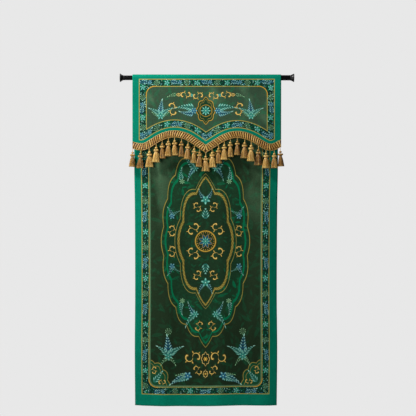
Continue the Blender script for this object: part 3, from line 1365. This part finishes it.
def tassel_copies(yarns, tone, uneven, templates):
    """The parts of one tassel about its own cord, before it is hung."""
    yarn, ply, bead, knot = templates
    copies = []

    shape = points_of(ply)
    for start in (0.0, math.pi):
        depth = -shape[:, 2] * CORD_LENGTH
        turn = depth / CORD_LAY * 2 * math.pi + start
        points = np.stack(
            (
                CORD_RADIUS * (0.9 * np.cos(turn) + shape[:, 0]),
                CORD_RADIUS * (0.9 * np.sin(turn) + shape[:, 1]),
                -depth,
            ),
            axis=1,
        )
        copies.append((ply, points, 1.0, depth))

    shape = points_of(bead)
    ribs = 1 + 0.06 * np.cos(12 * np.arctan2(shape[:, 1], shape[:, 0]) + 3 * shape[:, 2])
    for middle, radius, height, tint in TASSEL_BEADS:
        form = shape * np.stack((ribs * radius, ribs * radius, np.full(len(ribs), height)), axis=1)
        copies.append((bead, form - np.array((0, 0, middle)), tone + tint, shape[:, 2] * 0.01))

    shape = points_of(knot)
    for i in range(KNOTS):
        angle = 2 * math.pi * (i + uneven.uniform(-0.2, 0.2)) / KNOTS
        c, s = math.cos(angle), math.sin(angle)
        size = (KNOT_REACH, uneven.uniform(0.0036, 0.0046), uneven.uniform(0.0056, 0.0070))
        local = shape * np.array(size)
        out = local[:, 0] + KNOT_RING
        points = np.stack(
            (out * c - local[:, 1] * s, out * s + local[:, 1] * c, local[:, 2] - KNOT_DEPTH), axis=1
        )
        copies.append((knot, points, tone * 0.5 + uneven.uniform(0.2, 1.2), local[:, 2]))

    shape = points_of(yarn)
    fall = np.interp(-shape[:, 2], np.linspace(0, 1, 7), (0, 0.12, 0.30, 0.52, 0.76, 0.95, 1))
    for share, yarn_share in YARN_RINGS:
        number = int(yarns * yarn_share)
        for i in range(number):
            angle = 2 * math.pi * (i + uneven.uniform(-0.35, 0.35)) / number
            end = SKIRT_END + uneven.uniform(-0.0022, 0.0010)
            thick = YARN_RADIUS * uneven.uniform(0.85, 1.1)
            depth = SKIRT_TOP + fall * (end - SKIRT_TOP)
            reach = np.interp(depth, [d for d, _ in SKIRT_FORM], [r for _, r in SKIRT_FORM]) * share
            around = angle + uneven.uniform(-0.10, 0.10) * fall
            reach = reach - thick + uneven.uniform(-0.0009, 0.0009) * np.sin(fall * 5)
            c, s = np.cos(around), np.sin(around)
            points = np.stack(
                (
                    (reach + shape[:, 0] * thick) * c - shape[:, 1] * thick * s,
                    (reach + shape[:, 0] * thick) * s + shape[:, 1] * thick * c,
                    -depth,
                ),
                axis=1,
            )
            shade = tone + uneven.uniform(-1.1, 0.8) + 0.9 * (fall > 0.93)
            copies.append((yarn, points, shade, depth + uneven.uniform(0, 0.01)))
    return copies


class CURTAIN_OT_tassels(bpy.types.Operator):
    """Hangs the tassels from the braid"""

    bl_idname = "curtain.tassels"
    bl_label = "Tassels"

    def execute(self, context):
        trim = context.scene.curtain_trim
        templates = (
            yarn_template(5, 6), yarn_template(6, 22), bead_template(28, 14), bead_template(8, 6)
        )
        material = gold_yarn("gold_tassel_yarn", trim, 0.0045)
        for number, (x, length, width, sway, lean, tone) in enumerate(TASSELS, 1):
            uneven = random.Random(number)
            copies = tassel_copies(trim.yarns, tone, uneven, templates)
            name = TASSEL_NAMES[number - 1]
            mesh = bunch(name, copies)
            edge = min(BRAID.lower_edge(x + side * 0.002) for side in (-2, -1, 0, 1, 2))
            y = valance_layer_y(x, edge) - BRAID_OFF_CLOTH - TASSEL_HANG
            points = points_of(mesh)
            depth = -points[:, 2]
            skirt = np.clip((depth - 0.042) / 0.012, 0, 1)
            points[:, 0] *= 1 + (width - 1) * skirt
            above = 1 - np.clip((depth - 0.018) / 0.03, 0, 1)
            points[:, 1] *= TASSEL_FLATNESS + (0.80 - TASSEL_FLATNESS) * above
            mesh.vertices.foreach_set("co", points.ravel())
            swing = Matrix.Rotation(-math.radians(sway), 4, "Y")
            swing = swing @ Matrix.Rotation(-math.radians(lean), 4, "X")
            hung_at = Matrix.Translation((x, y, edge + TASSEL_HANG))
            mesh.transform(hung_at @ swing @ Matrix.Diagonal((length, 1, length, 1)))
            mesh.update()
            add_piece(name, mesh, FIXED_BODY, [material], [f"tassel_{number:02d}"])
        return {"FINISHED"}


def spun_piece(name, profile, body, material, stands_for):
    """A closed round piece about the rod's axis from a profile of x and radius."""
    bm = bmesh.new()
    corners = [bm.verts.new((x, 0, radius)) for x, radius in profile]
    edges = [bm.edges.new(pair) for pair in zip(corners, corners[1:])]
    if profile[0][1] > 0:
        edges.append(bm.edges.new((corners[-1], corners[0])))
    bmesh.ops.spin(
        bm, geom=corners + edges, cent=(0, 0, 0), axis=(1, 0, 0), dvec=(0, 0, 0),
        angle=2 * math.pi, steps=72, use_merge=True, use_duplicate=False,
    )
    bmesh.ops.remove_doubles(bm, verts=bm.verts, dist=1e-6)
    bmesh.ops.recalc_face_normals(bm, faces=bm.faces)
    mesh = bpy.data.meshes.new(name)
    bm.to_mesh(mesh)
    bm.free()
    mesh.shade_smooth()
    mesh.set_sharp_from_angle(angle=math.radians(38))
    return add_piece(name, mesh, body, [material], [stands_for])


class CURTAIN_OT_tubes(bpy.types.Operator):
    """Makes the rod's two black tubes, one inside the other"""

    bl_idname = "curtain.tubes"
    bl_label = "Rod tubes"

    def execute(self, context):
        material = black_finish("black_tube_paint", context.scene.curtain_rod.tube, 0.36, 0.12)
        end = ROD_END - FOOT_LENGTH - GAP
        for name, left, right, radius, body, node in (
            ("outer_tube", OUTER_TUBE_LEFT_END, end, OUTER_TUBE_RADIUS, FIXED_BODY, "rod_outer_tube"),
            ("inner_tube", -end, INNER_TUBE_RIGHT_END, INNER_TUBE_RADIUS, SLIDING_BODY, "rod_inner_tube"),
        ):
            bore, ease = radius - TUBE_WALL, TUBE_EASE
            profile = [
                (left, bore + ease), (left, radius - ease), (left + ease, radius), (right - ease, radius),
                (right, radius - ease), (right, bore + ease), (right - ease, bore), (left + ease, bore),
            ]
            spun_piece(name, profile, body, material, node)
        return {"FINISHED"}


class CURTAIN_OT_feet(bpy.types.Operator):
    """Makes the flared rubber feet at the rod's ends"""

    bl_idname = "curtain.feet"
    bl_label = "Rod feet"

    def execute(self, context):
        material = black_finish("black_foot_rubber", context.scene.curtain_rod.foot, 0.38, 0.25)
        mouth = ROD_END - FOOT_LENGTH
        for name, side, tube, body, node in (
            ("foot_right", 1, OUTER_TUBE_RADIUS, FIXED_BODY, "end_cap_right"),
            ("foot_left", -1, INNER_TUBE_RADIUS, SLIDING_BODY, "end_cap_left"),
        ):
            profile = [(ROD_END - depth, radius) for depth, radius in FOOT_FACE]
            for i in range(1, FOOT_STEPS + 1):
                share = i / FOOT_STEPS
                x = ROD_END - FOOT_RIM - (FOOT_LENGTH - FOOT_RIM) * share
                groove = 0.0005 * (abs(share - 0.86) < 0.03)
                profile.append((x, tube + (FOOT_RADIUS - tube) * (1 - share) ** 2 - groove))
            plug = tube - TUBE_WALL - GAP
            inner_end = mouth - FOOT_PLUG
            profile += [(mouth, plug), (inner_end + 0.001, plug)]
            profile += [(inner_end, plug - 0.001), (inner_end, 0.0)]
            profile = [(side * x, radius) for x, radius in profile]
            spun_piece(name, profile, body, material, node)
        return {"FINISHED"}


class CURTAIN_OT_stage(bpy.types.Operator):
    """Adds the pale floor, the studio lights and the camera"""

    bl_idname = "curtain.stage"
    bl_label = "Stage"

    def execute(self, context):
        scene = context.scene
        settings = scene.curtain_stage
        bm = bmesh.new()
        bmesh.ops.create_circle(bm, cap_ends=True, radius=FLOOR_RADIUS, segments=96)
        bmesh.ops.translate(bm, verts=bm.verts, vec=(0, 0, FLOOR_HEIGHT))
        mesh = bpy.data.meshes.new("floor")
        bm.to_mesh(mesh)
        bm.free()
        floor = bpy.data.objects.new("floor", mesh)
        scene.collection.objects.link(floor)
        material, tree, shader = new_material("pale_floor")
        shader.inputs["Base Color"].default_value = (*settings.backdrop, 1)
        shader.inputs["Roughness"].default_value = 0.8
        mesh.materials.append(material)

        world = bpy.data.worlds.new("pale_studio")
        scene.world = world
        world.use_nodes = True
        tree = world.node_tree
        seen = tree.nodes["Background"]
        seen.inputs["Color"].default_value = (*settings.backdrop, 1)
        seen.inputs["Strength"].default_value = 1.0
        lit = tree.nodes.new("ShaderNodeBackground")
        lit.inputs["Color"].default_value = (*settings.backdrop, 1)
        lit.inputs["Strength"].default_value = 0.12
        path = tree.nodes.new("ShaderNodeLightPath")
        choose = tree.nodes.new("ShaderNodeMixShader")
        tree.links.new(path.outputs["Is Camera Ray"], choose.inputs[0])
        tree.links.new(lit.outputs[0], choose.inputs[1])
        tree.links.new(seen.outputs[0], choose.inputs[2])
        tree.links.new(choose.outputs[0], tree.nodes["World Output"].inputs["Surface"])

        for name, place, aim, size, power in (
            ("key_light", (-1.75, -0.95, 1.65), (0.0, 0.0, -0.7), 0.40, settings.key_power),
            ("fill_light", (-1.6, -2.0, -0.4), (0.0, 0.0, -0.9), 1.2, settings.key_power * 0.28),
            ("back_light", (1.5, 2.6, 1.6), (0.0, 0.0, -0.9), 1.5, settings.key_power * 0.4),
        ):
            data = bpy.data.lights.new(name, "AREA")
            data.shape = "DISK"
            data.size = size
            data.energy = power
            light = bpy.data.objects.new(name, data)
            light.location = place
            light.rotation_euler = (Vector(aim) - Vector(place)).to_track_quat("-Z", "Y").to_euler()
            scene.collection.objects.link(light)

        data = bpy.data.cameras.new("camera")
        data.sensor_width = SENSOR_WIDTH
        data.lens = SENSOR_WIDTH * CAMERA_DISTANCE / VIEW_WIDTH
        data.clip_end = 50
        camera = bpy.data.objects.new("camera", data)
        camera.location = (CAMERA_X, -CAMERA_DISTANCE, CAMERA_HEIGHT)
        camera.rotation_euler = (math.pi / 2, 0, 0)
        scene.collection.objects.link(camera)
        scene.camera = camera
        scene.view_settings.view_transform = "Standard"
        return {"FINISHED"}


class CURTAIN_PT_sidebar(bpy.types.Panel):
    bl_label = "Velvet door curtain"
    bl_idname = "CURTAIN_PT_sidebar"
    bl_space_type = "VIEW_3D"
    bl_region_type = "UI"
    bl_category = "Curtain"

    def draw(self, context):
        layout = self.layout
        for group, operators in SECTIONS:
            settings = getattr(context.scene, group)
            box = layout.box()
            for key in settings.bl_rna.properties.keys():
                if key not in {"rna_type", "name"}:
                    box.prop(settings, key)
            for operator in operators:
                box.operator(operator.bl_idname, text=operator.bl_label)


SECTIONS = (
    ("curtain_print", ()),
    ("curtain_rod", (CURTAIN_OT_tubes, CURTAIN_OT_feet)),
    ("curtain_trim", (CURTAIN_OT_braid, CURTAIN_OT_tassels)),
    ("curtain_cloth", (CURTAIN_OT_panel, CURTAIN_OT_valance)),
    ("curtain_stage", (CURTAIN_OT_stage,)),
)
SETTINGS = {
    "curtain_print": CurtainPrintSettings,
    "curtain_cloth": CurtainClothSettings,
    "curtain_trim": CurtainTrimSettings,
    "curtain_rod": CurtainRodSettings,
    "curtain_stage": CurtainStageSettings,
}


def register():
    for name, group in SETTINGS.items():
        bpy.utils.register_class(group)
        setattr(bpy.types.Scene, name, PointerProperty(type=group))
    for _, operators in SECTIONS:
        for operator in operators:
            bpy.utils.register_class(operator)
    bpy.utils.register_class(CURTAIN_PT_sidebar)


def unregister():
    bpy.utils.unregister_class(CURTAIN_PT_sidebar)
    for _, operators in reversed(SECTIONS):
        for operator in reversed(operators):
            bpy.utils.unregister_class(operator)
    for name, group in reversed(list(SETTINGS.items())):
        delattr(bpy.types.Scene, name)
        bpy.utils.unregister_class(group)


def main():
    register()
    bpy.ops.curtain.tubes()
    bpy.ops.curtain.feet()
    bpy.ops.curtain.panel()
    bpy.ops.curtain.braid()
    bpy.ops.curtain.tassels()
    bpy.ops.curtain.valance()
    bpy.ops.curtain.stage()
    bpy.context.view_layer.update()


if __name__ == "__main__":
    main()
